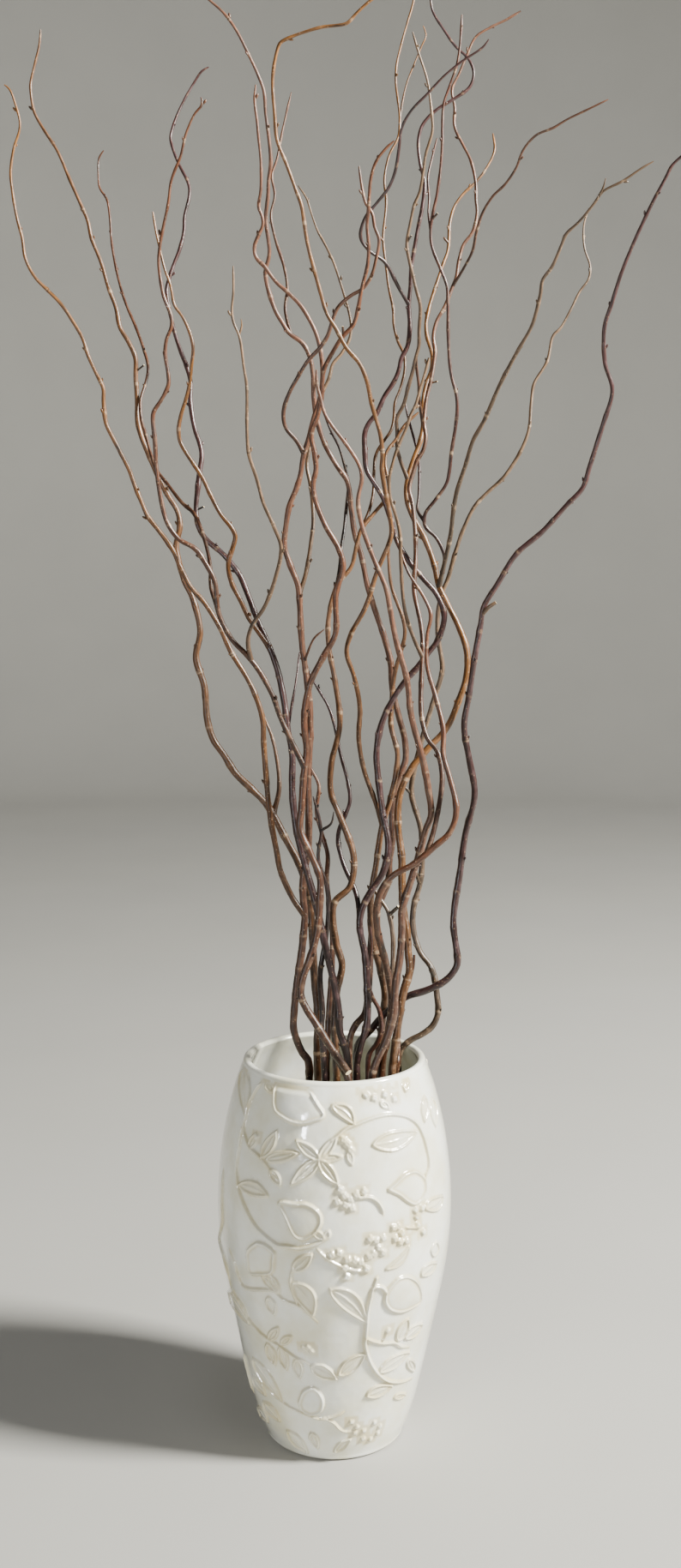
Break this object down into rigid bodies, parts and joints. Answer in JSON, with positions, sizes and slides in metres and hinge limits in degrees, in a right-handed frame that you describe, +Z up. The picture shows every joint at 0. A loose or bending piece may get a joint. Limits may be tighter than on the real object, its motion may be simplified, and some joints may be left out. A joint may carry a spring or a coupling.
{
  "type": "willow stems in vase",
  "caption": "Dry curly willow stems spread from a full-bellied glazed ceramic vase with raised vine, leaf and fruit decoration.",
  "frame": {"origin": "centre of the vase's foot, on the surface that it stands on", "axes": "+Z up along the vase's axis, -Y towards the side that the picture shows"},
  "size_m": [0.5859, 0.2717, 1.4096],
  "materials": {
    "vase_glaze": "glossy cream glaze with a pearly lustre",
    "bark_tan": "dry satin tan bark",
    "bark_rose": "dry satin pinkish brown bark",
    "bark_dark": "dry satin dark purplish brown bark"
  },
  "bodies": {
    "root": {"vase": "vase_glaze", "willow_stem_01": "bark_tan", "willow_stem_02": "bark_tan", "willow_stem_03": "bark_tan", "willow_stem_04": "bark_dark", "willow_stem_05": "bark_tan", "willow_stem_06": "bark_rose", "willow_stem_07": "bark_dark", "willow_stem_08": "bark_rose", "willow_stem_09": "bark_dark", "willow_stem_10": "bark_tan", "willow_stem_11": "bark_tan", "willow_stem_12": "bark_dark", "willow_stem_13": "bark_rose", "willow_stem_14": "bark_rose", "willow_stem_15": "bark_tan", "willow_stem_16": "bark_rose", "willow_stem_17": "bark_dark", "willow_stem_18": "bark_rose"}
  },
  "joints": []
}
